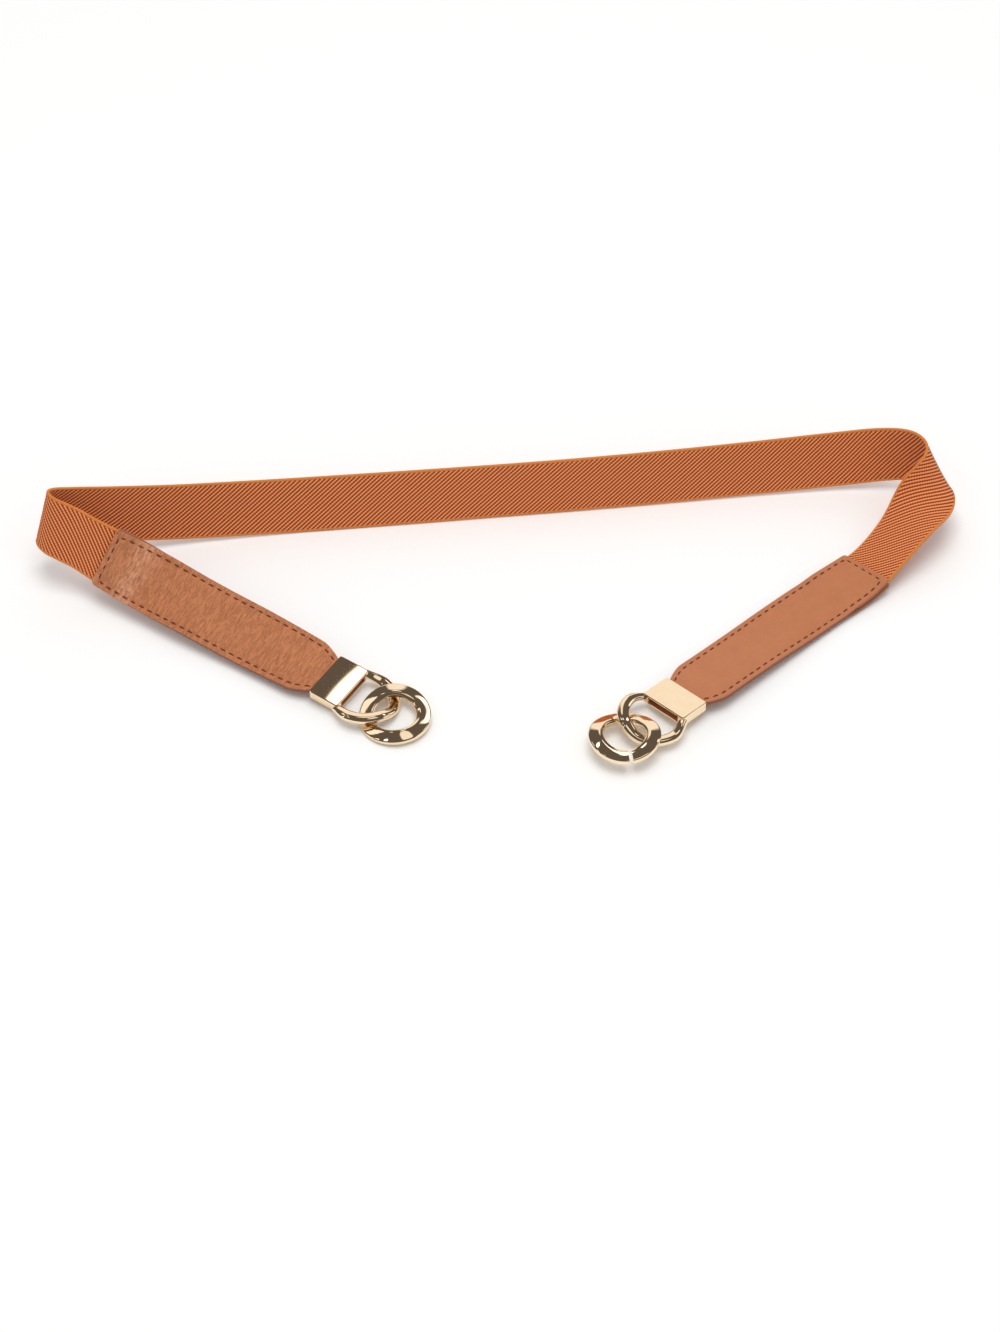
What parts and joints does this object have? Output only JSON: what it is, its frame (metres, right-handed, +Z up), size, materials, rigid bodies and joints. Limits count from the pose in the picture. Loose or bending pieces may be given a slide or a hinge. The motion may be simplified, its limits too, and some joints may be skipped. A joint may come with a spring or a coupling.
{
  "type": "elastic stretch belt",
  "caption": "Woven elastic belt with stitched leather tabs and interlocking gold-coloured chain clasp ends, lying open.",
  "frame": {"origin": "middle of the lying belt's bounding box, at the surface it lies on", "axes": "+Z up; +X along the back run, from the left clasp's side to the right one's; the two clasp ends come forward, towards -Y"},
  "size_m": [0.3852, 0.176, 0.0397],
  "materials": {
    "elastic": "twill-woven elastic, matte",
    "leather": "fine grain, satin",
    "lining": "smooth, satin",
    "gold": "polished, light gold plating"
  },
  "bodies": {
    "root": {"elastic_band": "elastic", "tab_front_left": "leather", "tab_back_left": "lining", "clasp_left": "gold", "ring_left": "gold", "tab_front_right": "leather", "tab_back_right": "lining", "clasp_right": "gold", "ring_right": "gold"}
  },
  "joints": []
}
